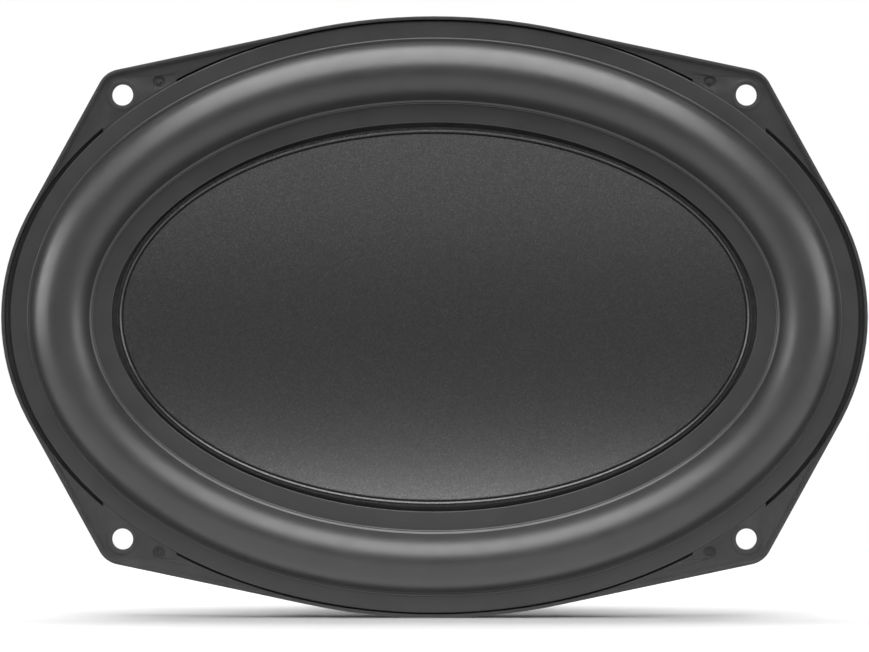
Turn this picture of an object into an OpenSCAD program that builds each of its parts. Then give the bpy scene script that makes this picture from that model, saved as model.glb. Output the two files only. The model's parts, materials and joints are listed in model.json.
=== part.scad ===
// Oval 6 x 9 inch car speaker, built up from the pieces it comes apart into.
//
// Every module is drawn in the speaker's own working position: the sound axis is Z, +Z points
// at the listener, X is the long way of the oval and Y the short way.  Z = 0 is the back face
// of the mounting flange.  The last lines stand the speaker upright, so that it faces -Y.

/* [Flange] */
// Long way across the oval flange, without the ears
flange_w = 236; // [226:1:284]
// Short way across the oval flange, without the ears
flange_h = 163.8; // [150:0.2:200]
// Thickness of the flange plate
flange_t = 3.5; // [3:0.1:5]
// Width of the raised lip that runs round the outline
rim_w = 0.9; // [0.6:0.1:1.2]
// Height of that lip above the flange plate
rim_h = 1.2; // [0.4:0.1:2.5]
// Width of the lower step along the inside of the lip, at the ears
step_w = 0.5; // [0.3:0.1:0.8]
// Height of that step above the flange plate
step_h = 0.5; // [0.2:0.1:1]
// Width of the groove between lip and surround at the two long ends
groove_side = 1.5; // [1:0.1:3]
// Width of that groove at top and bottom
groove_top = 0.3; // [0.2:0.1:2]
// Depth of that groove below the face of the ears
groove_depth = 2.2; // [1:0.1:2.5]
// Length without a groove beside each screw hole
groove_break = 20; // [14:1:26]
// Depth of the seat that the surround is glued to, below the face of the ears
seat_depth = 0.8; // [0.4:0.1:0.9]

/* [Screw holes] */
// Hole to hole along the long way
screw_spacing_x = 170; // [164:0.5:178]
// Diameter of a mounting hole
screw_hole_d = 5.8; // [4.2:0.1:7]
// Distance from the edge of a hole to the edge of the surround
hole_land = 1.8; // [1.6:0.1:4]
// Radius of the raised pad round a hole
pad_r = 4.2; // [3.8:0.1:5]
// Height of that pad
pad_h = 0.2; // [0.1:0.05:0.4]
// Radius of an ear round its hole
ear_r = 7; // [6:0.1:9]
// Diameter of the small grille socket beside each hole
socket_d = 3.4; // [2:0.1:4]
// How far the socket stands from its hole, along the long way
socket_step = 10; // [9:0.5:14]
// Depth of that socket
socket_depth = 0.8; // [0.4:0.1:1.6]

/* [Surround] */
// Thickness of the rubber
surround_t = 1; // [0.6:0.1:1.2]
// Width of the glued outer band, up to its bead
outer_band_w = 4.9; // [4:0.1:7]
// Width of the half roll
roll_w = 16; // [12:0.5:20]
// Height of the half roll above the bands
roll_h = 7.5; // [5:0.5:10]
// Height of the thin bead at each foot of the roll
bead_h = 0.45; // [0.2:0.05:0.8]
// Width of one bead
bead_w = 0.7; // [0.4:0.1:1.2]
// Width of the glued inner band
inner_band_w = 5.4; // [4:0.1:7]

/* [Cone and dish] */
// Thickness of the cone, measured along the sound axis
cone_t = 0.8; // [0.6:0.1:1.4]
// Height of the cone's rim above the back of the flange
cone_rim_z = 2.2; // [0.8:0.1:3]
// Width of the open groove round the dish
dish_gap = 1.2; // [0.6:0.1:2]
// Depth of the shelf that the dish stands on, below the cone's rim
dish_shelf_drop = 2.7; // [1.5:0.1:4]
// Width of the dish's raised rim
dish_rim_w = 1.5; // [1:0.1:2.5]
// Height of that rim above the cone's rim
dish_rim_h = 1.2; // [0.6:0.1:2]
// How far the middle of the dish sinks below its edge
dish_depth = 8; // [4:0.5:12]
// Thickness of the dish
dish_t = 0.9; // [0.6:0.1:1.2]

/* [Voice coil] */
// Inner diameter of the coil former
coil_d = 32; // [25:0.5:36]
// Wall of the former
former_t = 0.3; // [0.2:0.05:0.5]
// Thickness of the paper collar round the former
collar_t = 0.3; // [0.2:0.05:0.5]
// Build-up of the winding on the former
winding_t = 0.8; // [0.4:0.1:1.2]
// Length of the winding
winding_l = 14; // [10:0.5:18]
// Clearance each side of the coil in the magnetic gap
gap_clearance = 0.5; // [0.35:0.05:0.8]
// Depth of the cone's neck below the flange
neck_depth = 28; // [26:0.5:29]

/* [Spider] */
// Outer diameter of the spider
spider_d = 104; // [96:1:106]
// Depth of the spider's seat below the flange
spider_seat_depth = 33; // [32.5:0.5:35]
// Width of the spider's glued edge
spider_edge_w = 5; // [3:0.5:6]
// Thickness of the cloth
spider_t = 0.6; // [0.4:0.1:0.8]
// Number of corrugations
spider_waves = 5; // [3:1:7]
// Height of a corrugation each side of the middle
spider_wave_h = 1.3; // [0.8:0.1:1.6]
// Height of the collar that stands up round the spider's bore
spider_lip_h = 1.4; // [1:0.1:1.8]

/* [Basket] */
// Depth of the basket below the flange
basket_depth = 49; // [46:0.5:60]
// Depth of the oval skirt
skirt_depth = 12; // [8:0.5:15]
// Wall of the skirt
skirt_t = 1.8; // [1.4:0.1:2.4]
// Thickness of the spider ledge and of the rear plate
web_t = 2.5; // [2:0.1:3.5]
// Wall of the round cup below the spider
cup_t = 2; // [1.6:0.1:3]
// Width of the flat ledge outside the spider
ledge_w = 3; // [2:0.5:5]
// Width of a spoke
spoke_w = 10; // [7:0.5:13]
// Depth of a spoke where it meets the skirt
spoke_t = 4; // [3:0.5:6]
// Width of the stiffening rib on the back of a spoke
rib_w = 2.4; // [1.6:0.1:4]
// Depth of that rib below the spoke
rib_depth = 3.5; // [2:0.5:5]
// Width of a vent slot in the cup
cup_slot_w = 16; // [8:0.5:20]
// Height of a vent slot in the cup
cup_slot_h = 6; // [3:0.5:7]

/* [Motor] */
// Diameter of the ferrite ring
magnet_d = 90; // [84:1:110]
// Thickness of the ferrite ring
magnet_t = 18; // [14:0.5:24]
// Inner diameter of the ferrite ring
magnet_bore_d = 44; // [42:0.5:50]
// Diameter of the two steel plates
plate_d = 86; // [78:1:88]
// Thickness of each steel plate
plate_t = 6; // [4:0.5:8]
// Height of the pole above the top plate
pole_rise = 1.5; // [0:0.5:3]
// Diameter of the vent through the pole
vent_d = 12; // [8:0.5:16]
// Height of the shorting ring at the foot of the pole
short_ring_h = 5; // [3:0.5:6]
// Circle of the screws that hold the basket to the top plate
motor_screw_pcd = 64; // [58:1:72]
// Number of those screws
motor_screws_n = 4; // [3:1:6]
// Diameter of those screws
motor_screw_d = 4; // [3:0.5:5]

/* [Terminals] */
// Width of the terminal board
board_w = 40; // [36:1:46]
// Length of the terminal board
board_l = 12; // [11:0.5:14]
// Thickness of the terminal board
board_t = 1.6; // [1:0.1:2]
// Width of the positive blade
positive_w = 6.3; // [4.8:0.1:6.3]
// Width of the negative blade
negative_w = 4.8; // [2.8:0.1:6.3]
// Thickness of both blades
blade_t = 0.8; // [0.5:0.1:0.8]
// How far a blade stands out past the board
blade_out = 7; // [6:0.5:7.5]
// Distance of each blade from the middle
blade_x = 9; // [8:0.5:10]
// Diameter of a braided lead
lead_d = 1.6; // [1:0.1:2]

/* [Gasket] */
// Thickness of the foam gasket behind the flange
gasket_t = 1.5; // [1:0.1:3]

/* [Hidden] */
$fn = 96;
steps = 72;           // stations round an oval sweep
slack = 0.05;         // radial clearance of a fixed fit
over = 1;             // how far a cut runs past what it cuts

// The oval: a seat ellipse for the surround's outer edge.  Every other oval line of the
// speaker runs at a constant inset from it, as the constant width of the roll requires.
seat_a = flange_w / 2 - rim_w - groove_side;
seat_b = flange_h / 2 - rim_w - groove_top;
seat_z = flange_t - seat_depth;
groove_z = flange_t - groove_depth;

// Insets of the lines that run round the speaker, from outside to inside
opening_in = outer_band_w + 0.5;
roll_in = outer_band_w + bead_w;
roll_out = roll_in + roll_w;
inner_bead_in = roll_out + bead_w;
cone_rim_in = inner_bead_in - bead_w / 2;
band_end = inner_bead_in + inner_band_w;
dish_in = band_end + dish_gap;
dish_edge = dish_in + dish_rim_w + 0.7;
shelf_end = dish_edge + 0.6;
skirt_in = opening_in - skirt_t;
shelf_z = cone_rim_z - dish_shelf_drop;
dish_top = cone_rim_z + dish_rim_h;
dish_edge_z = dish_top - 0.8;

// Where a mounting hole stands: at its land outside the surround, and at its spacing
hole_out = screw_hole_d / 2 + hole_land;
screw_spacing_y = 2 * oval(angle_at(screw_spacing_x / 2, -hole_out), -hole_out)[1];
socket_out = socket_d / 2 + 0.6;
socket_x = screw_spacing_x / 2 - socket_step;
socket_y = oval(angle_at(socket_x, -socket_out), -socket_out)[1];

// The round middle
former_r = coil_d / 2;
former_out = former_r + former_t;
collar_out = former_out + collar_t;
neck_t = 0.8;
neck_r = collar_out + slack;
winding_out = former_out + winding_t;
pole_r = former_r - gap_clearance;
plate_bore_r = winding_out + gap_clearance;
spider_seat_z = -spider_seat_depth;
cup_r = spider_d / 2 - spider_edge_w - 1;
ledge_r = spider_d / 2 + ledge_w;
rear_plate_bore_r = plate_bore_r + 3.4;
screen_r = vent_d / 2 + 2.5;
screen_t = 0.5;
screen_seat = 1.2;

// Heights down the motor
motor_z = -basket_depth;
magnet_z = motor_z - plate_t;
back_z = magnet_z - magnet_t;
winding_mid = motor_z - plate_t / 2;
winding_low = winding_mid - winding_l / 2;
winding_top = winding_mid + winding_l / 2;
neck_low = spider_seat_z + spider_lip_h + 0.5;

// Spokes: the angle round the ellipse where each one meets the skirt
spoke_angles = [27, 66, 114, 153, 207, 246, 294, 333];

// Screw heads, rivets and sockets
motor_head_r = motor_screw_d * 0.9;
motor_head_h = motor_screw_d * 0.55;
rivet_r = 1.4;
rivet_head_r = 2.5;
rivet_head_h = 0.8;

// Terminal board, on its shelf under the spider ledge
board_in = ledge_r + 1;
board_out = board_in + board_l;
board_z = spider_seat_z;
blade_z = board_z + board_t;
board_rivet_x = board_w / 2 - 3.5;
board_mid = (board_in + board_out) / 2;

// Eyelets: the angle round the cone, and how far down it they sit
eyelet_angles = [-110, -70];
eyelet_down = 0.5;
eyelet_r = 1.3;
eyelet_head_r = 2.2;
eyelet_head_h = 0.5;
eyelet_head_z = -0.05;
eyelet_tail = 2.2;
wire_r = 0.25;

// How far a lead keeps its direction at each end
lead_reach = 10;

// ---- Ovals and sweeps ----

// A point of the line that runs at an inset from the seat ellipse
function oval(t, inset) =
    let (nx = seat_b * cos(t), ny = seat_a * sin(t), n = norm([nx, ny]))
    [seat_a * cos(t) - inset * nx / n, seat_b * sin(t) - inset * ny / n];

// The angle at which the line at an inset crosses a given X, found by halving
function angle_at(x, inset, low = 0, high = 90, n = 40) =
    let (mid = (low + high) / 2)
    n == 0 ? mid :
    oval(mid, inset)[0] > x ? angle_at(x, inset, mid, high, n - 1)
        : angle_at(x, inset, low, mid, n - 1);

// A ring of a loft: [inset, radius, share, z], where share 0 is the oval and 1 the circle
function loft_point(t, ring) =
    let (p = (1 - ring[2]) * oval(t, ring[0]) + ring[2] * ring[1] * [cos(t), sin(t)])
    [p[0], p[1], ring[3]];

// A closed band of quads between ring i and the next one, round all the stations
function band_faces(i, j, n) =
    [for (k = [0 : n - 1]) [i * n + k, j * n + k, j * n + (k + 1) % n, i * n + (k + 1) % n]];

module oval_area(inset, n = 2 * steps) {
    polygon([for (k = [0 : n - 1]) oval(k * 360 / n, inset)]);
}

// A flat ring between two insets
module oval_ring(outer, inner) {
    difference() {
        oval_area(outer);
        oval_area(inner);
    }
}

// A tube whose section is a closed loop of rings, given anticlockwise with +X outwards
module closed_loft(rings) {
    m = len(rings);
    points = [for (r = rings) for (k = [0 : steps - 1]) loft_point(k * 360 / steps, r)];
    faces = [for (i = [0 : m - 1]) each band_faces(i, (i + 1) % m, steps)];
    polyhedron(points, faces, convexity = 8);
}

// A thin oval shell that closes in the middle: its top and bottom are lists of rings
module closed_dish(rings, mid_top, mid_bottom) {
    m = len(rings);
    ring_points = [for (r = rings) for (k = [0 : steps - 1]) loft_point(k * 360 / steps, r)];
    sides = [for (i = [0 : m - 2]) each band_faces(i, i + 1, steps)];
    first = [for (k = [0 : steps - 1]) [m * steps, k, (k + 1) % steps]];
    last = [for (k = [0 : steps - 1])
        [m * steps + 1, (m - 1) * steps + (k + 1) % steps, (m - 1) * steps + k]];
    polyhedron(concat(ring_points, [[0, 0, mid_bottom], [0, 0, mid_top]]),
        concat(first, sides, last), convexity = 4);
}

// A round tube along a list of points, whose ends are closed
function along(path, i) =
    let (a = path[max(i - 1, 0)], b = path[min(i + 1, len(path) - 1)]) (b - a) / norm(b - a);

module tube(path, r, sides = 8) {
    n = len(path);
    side = [1, 0, 0];
    points = [for (i = [0 : n - 1])
        let (u = cross(side, along(path, i)), v = cross(along(path, i), u / norm(u)))
        for (k = [0 : sides - 1])
            path[i] + r * (cos(k * 360 / sides) * u / norm(u) + sin(k * 360 / sides) * v)];
    walls = [for (i = [0 : n - 2]) each band_faces(i, i + 1, sides)];
    start = [for (k = [sides - 1 : -1 : 0]) k];
    end = [for (k = [0 : sides - 1]) (n - 1) * sides + k];
    polyhedron(points, concat([for (f = walls) [f[3], f[2], f[1], f[0]]], [end, start]));
}

// A straight rod from one point to another
module rod(a, b, r) {
    d = b - a;
    translate(a)
        rotate([0, acos(d[2] / norm(d)), atan2(d[1], d[0])])
            cylinder(h = norm(d), r = r);
}

module ring(outer, inner, z, h) {
    translate([0, 0, z])
        difference() {
            cylinder(h = h, r = outer);
            translate([0, 0, -over]) cylinder(h = h + 2 * over, r = inner);
        }
}

module at_motor_screws() {
    for (k = [0 : motor_screws_n - 1])
        rotate(45 + k * 360 / motor_screws_n)
            translate([motor_screw_pcd / 2, 0, 0])
                children();
}

// ---- Basket ----

// The flange's outline: the oval and the four ears, wrapped in one skin
module outline(shrink = 0) {
    hull() {
        flange_oval(shrink);
        at_corners(screw_spacing_x / 2, screw_spacing_y / 2) circle(ear_r - shrink, $fn = 48);
    }
}

// The flange's plain oval, drawn in by a distance
module flange_oval(shrink = 0) {
    n = 2 * steps;
    polygon([for (k = [0 : n - 1])
        [(flange_w / 2 - shrink) * cos(k * 360 / n), (flange_h / 2 - shrink) * sin(k * 360 / n)]]);
}

// A blind round socket with a small pip left in its middle
module grille_socket() {
    translate([0, 0, flange_t - socket_depth])
        difference() {
            cylinder(h = socket_depth + over, d = socket_d, $fn = 32);
            translate([0, 0, -over])
                cylinder(h = over + socket_depth / 2, r = socket_d / 6, $fn = 16);
        }
}

module at_corners(x, y) {
    for (i = [-1, 1], j = [-1, 1])
        translate([i * x, j * y, 0])
            children();
}

module flange() {
    difference() {
        union() {
            linear_extrude(flange_t) outline();
            translate([0, 0, flange_t])
                linear_extrude(rim_h)
                    difference() {
                        outline();
                        outline(rim_w);
                    }
            linear_extrude(flange_t + step_h)
                difference() {
                    outline(rim_w / 2);
                    outline(rim_w + step_w);
                }
            at_corners(screw_spacing_x / 2, screw_spacing_y / 2)
                cylinder(h = flange_t + pad_h, r = pad_r, $fn = 64);
        }
        translate([0, 0, groove_z])
            linear_extrude(flange_t)
                difference() {
                    flange_oval(rim_w);
                    oval_area(0);
                    at_corners(screw_spacing_x / 2 - hole_out, screw_spacing_y / 2)
                        square(groove_break, center = true);
                }
        translate([0, 0, seat_z]) linear_extrude(flange_t) oval_area(0);
        translate([0, 0, -over]) linear_extrude(flange_t + 2 * over) oval_area(opening_in);
        at_corners(screw_spacing_x / 2, screw_spacing_y / 2)
            translate([0, 0, -over])
                cylinder(h = flange_t + pad_h + 2 * over, d = screw_hole_d);
        at_corners(socket_x, socket_y) grille_socket();
    }
}

// A spoke from the spider ledge to the skirt, with its rib, in the direction of its outer end
module spoke(t) {
    tip = oval(t, skirt_in);
    reach = norm(tip);
    past = reach + 4;
    high = spider_seat_z - 0.5;
    low = spider_seat_z - web_t - 0.6;
    slope = (spoke_t - skirt_depth - high) / (reach - ledge_r);
    under = (-skirt_depth - low) / (reach - ledge_r - 1);
    rotate([0, 0, atan2(tip[1], tip[0])])
        rotate([90, 0, 0]) {
            linear_extrude(spoke_w, center = true)
                polygon([[cup_r + 1, high], [ledge_r, high],
                    [past, high + slope * (past - ledge_r)],
                    [past, low + under * (past - ledge_r - 1)],
                    [ledge_r + 1, low], [cup_r + 1, low]]);
            linear_extrude(rib_w, center = true)
                polygon([[cup_r + 1, spider_seat_z - 1], [ledge_r, spider_seat_z - 1],
                    [past, spoke_t / 2 - skirt_depth], [past, -skirt_depth],
                    [ledge_r + 2, low - rib_depth], [cup_r + cup_t + 0.5, motor_z + 1],
                    [cup_r + 1, motor_z + 1]]);
        }
}

// All the spokes, trimmed to the outside of the skirt
module spokes() {
    intersection() {
        union()
            for (t = spoke_angles)
                spoke(t);
        translate([0, 0, motor_z]) linear_extrude(basket_depth) oval_area(skirt_in);
    }
}

// The round ledge, cup and rear plate below the oval
module rear_cup() {
    middles = [for (k = [0 : len(spoke_angles) - 1])
        let (a = spoke_angles[k], b = spoke_angles[(k + 1) % len(spoke_angles)])
        (a + (b < a ? b + 360 : b)) / 2];
    ring(ledge_r, cup_r, spider_seat_z - web_t, web_t);
    difference() {
        ring(cup_r + cup_t, cup_r, motor_z, basket_depth - spider_seat_depth);
        for (t = middles)
            rotate([0, 0, atan2(seat_b * sin(t), seat_a * cos(t))])
                translate([cup_r - over, -cup_slot_w / 2, motor_z + web_t + 0.5])
                    cube([cup_t + 2 * over, cup_slot_w, cup_slot_h]);
    }
    difference() {
        ring(cup_r + 0.5, rear_plate_bore_r, motor_z, web_t);
        at_motor_screws()
            translate([0, 0, motor_z - over])
                cylinder(h = web_t + 2 * over, d = motor_screw_d + 4 * slack);
    }
}

// The flat tongue under the terminal board
module board_shelf() {
    difference() {
        translate([-board_w / 2, -board_out, spider_seat_z - web_t])
            cube([board_w, board_out - ledge_r + ledge_w, web_t]);
        for (x = [-1, 1]) {
            translate([x * blade_x, -board_mid, spider_seat_z - web_t - over])
                cylinder(h = web_t + 2 * over, r = rivet_head_r + 0.7, $fn = 48);
            translate([x * board_rivet_x, -board_mid, spider_seat_z - web_t - over])
                cylinder(h = web_t + 2 * over, r = rivet_r + slack, $fn = 48);
        }
    }
}

module basket() {
    color([0.13, 0.13, 0.14])
        union() {
            flange();
            translate([0, 0, -skirt_depth])
                linear_extrude(skirt_depth + groove_z / 2) oval_ring(skirt_in, opening_in);
            spokes();
            rear_cup();
            board_shelf();
        }
}

module rear_gasket() {
    color([0.07, 0.07, 0.07])
        translate([0, 0, -gasket_t])
            linear_extrude(gasket_t)
                oval_ring(0.2, skirt_in - 0.2);
}

// ---- Motor ----

module top_plate() {
    color([0.62, 0.63, 0.65])
        difference() {
            ring(plate_d / 2, plate_bore_r, motor_z - plate_t, plate_t);
            at_motor_screws()
                translate([0, 0, motor_z - plate_t - over])
                    cylinder(h = plate_t + 2 * over, d = motor_screw_d + 2 * slack);
        }
}

module magnet() {
    chamfer = 1;
    ri = magnet_bore_d / 2;
    ro = magnet_d / 2;
    color([0.2, 0.2, 0.21])
        translate([0, 0, back_z])
            rotate_extrude()
                polygon([[ri + chamfer, 0], [ro - chamfer, 0], [ro, chamfer],
                    [ro, magnet_t - chamfer], [ro - chamfer, magnet_t],
                    [ri + chamfer, magnet_t], [ri, magnet_t - chamfer], [ri, chamfer]]);
}

// Back plate and pole in one forging, with a vent that flares at the back
module pole_yoke() {
    low = back_z - plate_t;
    top = motor_z + pole_rise;
    vent = vent_d / 2;
    color([0.62, 0.63, 0.65])
        rotate_extrude()
            polygon([[screen_r + slack, low], [plate_d / 2 - 1, low],
                [plate_d / 2, low + 1], [plate_d / 2, back_z], [pole_r, back_z],
                [pole_r, top - 1], [pole_r - 1, top], [vent, top], [vent, low + plate_t - 1],
                [vent + 1.2, low + screen_seat], [screen_r + slack, low + screen_seat]]);
}

module shorting_ring() {
    color([0.85, 0.86, 0.88])
        ring(magnet_bore_d / 2 - 0.5, pole_r + slack, back_z, short_ring_h);
}

// A perforated disc that keeps dust out of the vent
module vent_screen() {
    pitch = 3.1;
    color([0.3, 0.3, 0.31])
        translate([0, 0, back_z - plate_t + screen_seat - screen_t])
            difference() {
                cylinder(h = screen_t, r = screen_r);
                for (row = [-2 : 2], col = [-3 : 3])
                    let (p = [(col + row / 2) * pitch, row * pitch * sin(60)])
                        if (norm(p) < vent_d / 2)
                            translate([p[0], p[1], -over])
                                cylinder(h = screen_t + 2 * over, r = 1, $fn = 24);
            }
}

module motor_screws() {
    color([0.7, 0.7, 0.72])
        at_motor_screws() {
            translate([0, 0, motor_z - plate_t + 1])
                cylinder(h = plate_t - 1 + web_t + 0.5, d = motor_screw_d, $fn = 48);
            translate([0, 0, motor_z + web_t])
                difference() {
                    cylinder(h = motor_head_h, r = motor_head_r, $fn = 48);
                    for (a = [0, 90])
                        rotate(a)
                            translate([-motor_head_r * 0.6, -0.4, motor_head_h - 1])
                                cube([motor_head_r * 1.2, 0.8, 2]);
                }
        }
}

// ---- Terminals ----

module terminal_board() {
    color([0.35, 0.2, 0.1])
        difference() {
            translate([-board_w / 2, -board_out, board_z]) cube([board_w, board_l, board_t]);
            for (x = [-board_rivet_x, -blade_x, blade_x, board_rivet_x])
                translate([x, -board_mid, board_z - over])
                    cylinder(h = board_t + 2 * over, r = rivet_r + slack, $fn = 48);
        }
}

// A flat blade with a lock hole near its tip and a riveted tail on the board
module blade(x, w) {
    tail = -board_in - 1;
    tip = -board_out - blade_out;
    color([0.8, 0.72, 0.5])
        translate([x, 0, blade_z])
            difference() {
                linear_extrude(blade_t)
                    polygon([[-w / 2, tail], [-w / 2, tip + 1], [-w / 2 + 0.8, tip],
                        [w / 2 - 0.8, tip], [w / 2, tip + 1], [w / 2, tail]]);
                translate([0, -board_mid, -over])
                    cylinder(h = blade_t + 2 * over, r = rivet_r + slack, $fn = 48);
                translate([0, tip + 3.2, -over])
                    cylinder(h = blade_t + 2 * over, d = 1.5, $fn = 32);
            }
}

module positive_tab() blade(-blade_x, positive_w);

module negative_tab() blade(blade_x, negative_w);

// A rivet along Z, whose grip runs from one height to another
module rivet(x, y, low, high) {
    translate([x, y, low - rivet_head_h]) cylinder(h = rivet_head_h, r = rivet_head_r, $fn = 48);
    translate([x, y, low - 0.1]) cylinder(h = high - low + 0.2, r = rivet_r, $fn = 48);
    translate([x, y, high]) cylinder(h = rivet_head_h, r = rivet_head_r, $fn = 48);
}

module tab_rivets() {
    color([0.75, 0.7, 0.55])
        for (x = [-blade_x, blade_x])
            rivet(x, -board_mid, board_z, blade_z + blade_t);
}

module board_rivets() {
    color([0.75, 0.75, 0.77])
        for (x = [-board_rivet_x, board_rivet_x])
            rivet(x, -board_mid, spider_seat_z - web_t, blade_z);
}

// ---- Suspension ----

// The half roll as an arc from its outer to its inner foot, at a given height and inset
function roll_arc(lift, shrink, n = 8) = [for (k = [0 : n])
    let (a = 180 * k / n, w = roll_w / 2 - shrink)
    [roll_in + roll_w / 2 - w * cos(a), 0, 0, lift + (roll_h - shrink) * sin(a)]];

// Rubber ring: outer band, bead, half roll, bead and inner band
module surround() {
    top = seat_z + surround_t;
    low = seat_z;
    in_top = cone_rim_z + surround_t;
    color([0.2, 0.2, 0.21])
        closed_loft(concat(
            [[0, 0, 0, low], [0, 0, 0, top], [outer_band_w - bead_w / 2, 0, 0, top],
                [outer_band_w, 0, 0, top + bead_h], [roll_in - 0.1, 0, 0, top + 0.1]],
            roll_arc(top, 0),
            [[inner_bead_in - bead_w / 2, 0, 0, in_top], [inner_bead_in, 0, 0, in_top + bead_h],
                [inner_bead_in + bead_w / 2, 0, 0, in_top], [band_end, 0, 0, in_top],
                [band_end, 0, 0, cone_rim_z], [cone_rim_in, 0, 0, cone_rim_z]],
            [for (k = [8 : -1 : 0]) roll_arc(top, surround_t)[k]],
            [[roll_in, 0, 0, low]]));
}

// Height of the spider's middle line at a radius
function spider_line(r, r0, r1) =
    spider_seat_z + spider_t / 2 + spider_wave_h * sin(360 * spider_waves * (r - r0) / (r1 - r0));

module spider() {
    r0 = collar_out + 2;
    r1 = cup_r - 0.3;
    n = spider_waves * 8;
    radii = [for (k = [0 : n]) r0 + (r1 - r0) * k / n];
    upper = [for (r = radii) [r, spider_line(r, r0, r1) + spider_t / 2]];
    lower = [for (k = [n : -1 : 0]) [radii[k], spider_line(radii[k], r0, r1) - spider_t / 2]];
    flat = spider_seat_z;
    color([0.8, 0.66, 0.36])
        rotate_extrude()
            polygon(concat(
                [[neck_r, flat], [neck_r, flat + spider_lip_h],
                    [neck_r + spider_t, flat + spider_lip_h], [neck_r + spider_t, flat + spider_t]],
                upper,
                [[spider_d / 2, flat + spider_t], [spider_d / 2, flat]],
                lower));
}

// ---- Moving parts ----

// The front of the cone's wall at a share of the way down it, as [inset, radius, share, z],
// or a line that lies lower by a drop
function cone_ring(share, drop = 0) = [shelf_end, neck_r + neck_t, share,
    shelf_z + share * (-neck_depth - shelf_z) - drop];

// The wall gets thicker towards the neck
function cone_wall(share) = cone_t * (1 + 0.4 * share);

module cone_shell() {
    closed_loft([
        [cone_rim_in, 0, 0, cone_rim_z - cone_t], [cone_rim_in, 0, 0, cone_rim_z],
        [band_end + cone_t, 0, 0, cone_rim_z], [band_end + cone_t, 0, 0, shelf_z],
        cone_ring(0), cone_ring(1),
        [0, neck_r, 1, -neck_depth], [0, neck_r, 1, neck_low],
        [0, neck_r + neck_t, 1, neck_low], cone_ring(1, cone_wall(1)),
        cone_ring(0, cone_wall(0)), [band_end, 0, 0, shelf_z - cone_t],
        [band_end, 0, 0, cone_rim_z - cone_t]]);
}

// Where an eyelet goes through the back of the cone, and the direction square to the wall
function eyelet_point(t) = loft_point(t, cone_ring(eyelet_down, cone_wall(eyelet_down)));
function cone_side(t) = loft_point(t, cone_ring(0)) - loft_point(t, cone_ring(1));
function eyelet_slope(t) = atan2(cone_side(t)[2], norm([cone_side(t)[0], cone_side(t)[1]]));
function eyelet_turn(t) = atan2(cone_side(t)[1], cone_side(t)[0]);
function eyelet_way(t) = let (s = eyelet_slope(t), a = eyelet_turn(t))
    [sin(s) * cos(a), sin(s) * sin(a), -cos(s)];
function eyelet_end(t) = eyelet_point(t) + (eyelet_tail + 3 * slack) * eyelet_way(t);

module at_eyelet(t) {
    translate(eyelet_point(t))
        rotate([0, 0, eyelet_turn(t)])
            rotate([0, -eyelet_slope(t), 0])
                children();
}

module cone() {
    color([0.1, 0.1, 0.1])
        difference() {
            cone_shell();
            for (t = eyelet_angles)
                at_eyelet(t) {
                    cylinder(h = 6, r = eyelet_r + slack, center = true, $fn = 32);
                    translate([0, 0, eyelet_head_z - 3])
                        cylinder(h = 3, r = eyelet_head_r + slack, $fn = 32);
                }
        }
}

// Crimped eyelet: a shank through the cone and a head in its flat seat on the cone's back
module lead_eyelets() {
    color([0.78, 0.68, 0.4])
        for (t = eyelet_angles)
            at_eyelet(t) {
                translate([0, 0, -eyelet_tail])
                    cylinder(h = eyelet_tail + 1.5 * cone_t, r = eyelet_r, $fn = 32);
                translate([0, 0, eyelet_head_z - eyelet_head_h])
                    cylinder(h = eyelet_head_h, r = eyelet_head_r, $fn = 32);
            }
}

// Concave front dish, on a raised rim that stands in the cone's shelf
module dish() {
    n = 6;
    top = [for (k = [1 : n]) let (s = k / (n + 1))
        [dish_edge, 0, s, dish_edge_z - dish_depth * (1 - pow(1 - s, 2))]];
    under = [for (k = [n : -1 : 1]) let (s = k / (n + 1))
        [dish_edge + dish_t, 0, s, dish_edge_z - dish_t - dish_depth * (1 - pow(1 - s, 2))]];
    color([0.24, 0.24, 0.25])
        closed_dish(concat(
            under,
            [[dish_edge + dish_t, 0, 0, dish_edge_z - dish_t - 0.3],
                [dish_in + dish_t + 0.6, 0, 0, dish_top - dish_t - 0.8],
                [dish_in + dish_t, 0, 0, shelf_z], [dish_in, 0, 0, shelf_z],
                [dish_in, 0, 0, dish_top - 0.4], [dish_in + 0.5, 0, 0, dish_top],
                [dish_in + dish_rim_w - 0.3, 0, 0, dish_top - 0.1],
                [dish_in + dish_rim_w, 0, 0, dish_edge_z - 0.4],
                [dish_edge, 0, 0, dish_edge_z]],
            top), dish_edge_z - dish_depth, dish_edge_z - dish_t - dish_depth);
}

module voice_coil_former() {
    color([0.75, 0.76, 0.78])
        ring(former_out, former_r, winding_low, -neck_depth - winding_low);
}

module former_collar() {
    color([0.55, 0.42, 0.28])
        ring(collar_out, former_out, winding_top + 0.4, -neck_depth - winding_top - 0.8);
}

module voice_coil_winding() {
    color([0.72, 0.4, 0.2])
        ring(winding_out, former_out, winding_low, winding_l);
}

// Fine wires that climb the back of the cone from the former to the eyelets
module coil_lead_wires() {
    low = 0.94;
    high = eyelet_down + 0.11;
    color([0.7, 0.38, 0.2])
        for (t = eyelet_angles)
            rod(loft_point(t, cone_ring(low, cone_wall(low) + 1.5 * wire_r)),
                loft_point(t, cone_ring(high, cone_wall(high) + 1.5 * wire_r)), wire_r, $fn = 24);
}

// The route of a braided lead: inwards off its blade's tail, then round and up to its eyelet
function lead_path(side) =
    let (t = side < 0 ? eyelet_angles[0] : eyelet_angles[1],
        start = [side * blade_x, -board_in - 1.6, blade_z + blade_t + lead_d / 2],
        p = [start, start + lead_reach * [0, cos(8), sin(8)],
            eyelet_end(t) + lead_reach * eyelet_way(t), eyelet_end(t)],
        n = 14)
    [for (k = [0 : n])
        let (u = k / n, v = 1 - u)
        v * v * v * p[0] + 3 * v * v * u * p[1] + 3 * v * u * u * p[2] + u * u * u * p[3]];

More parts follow.
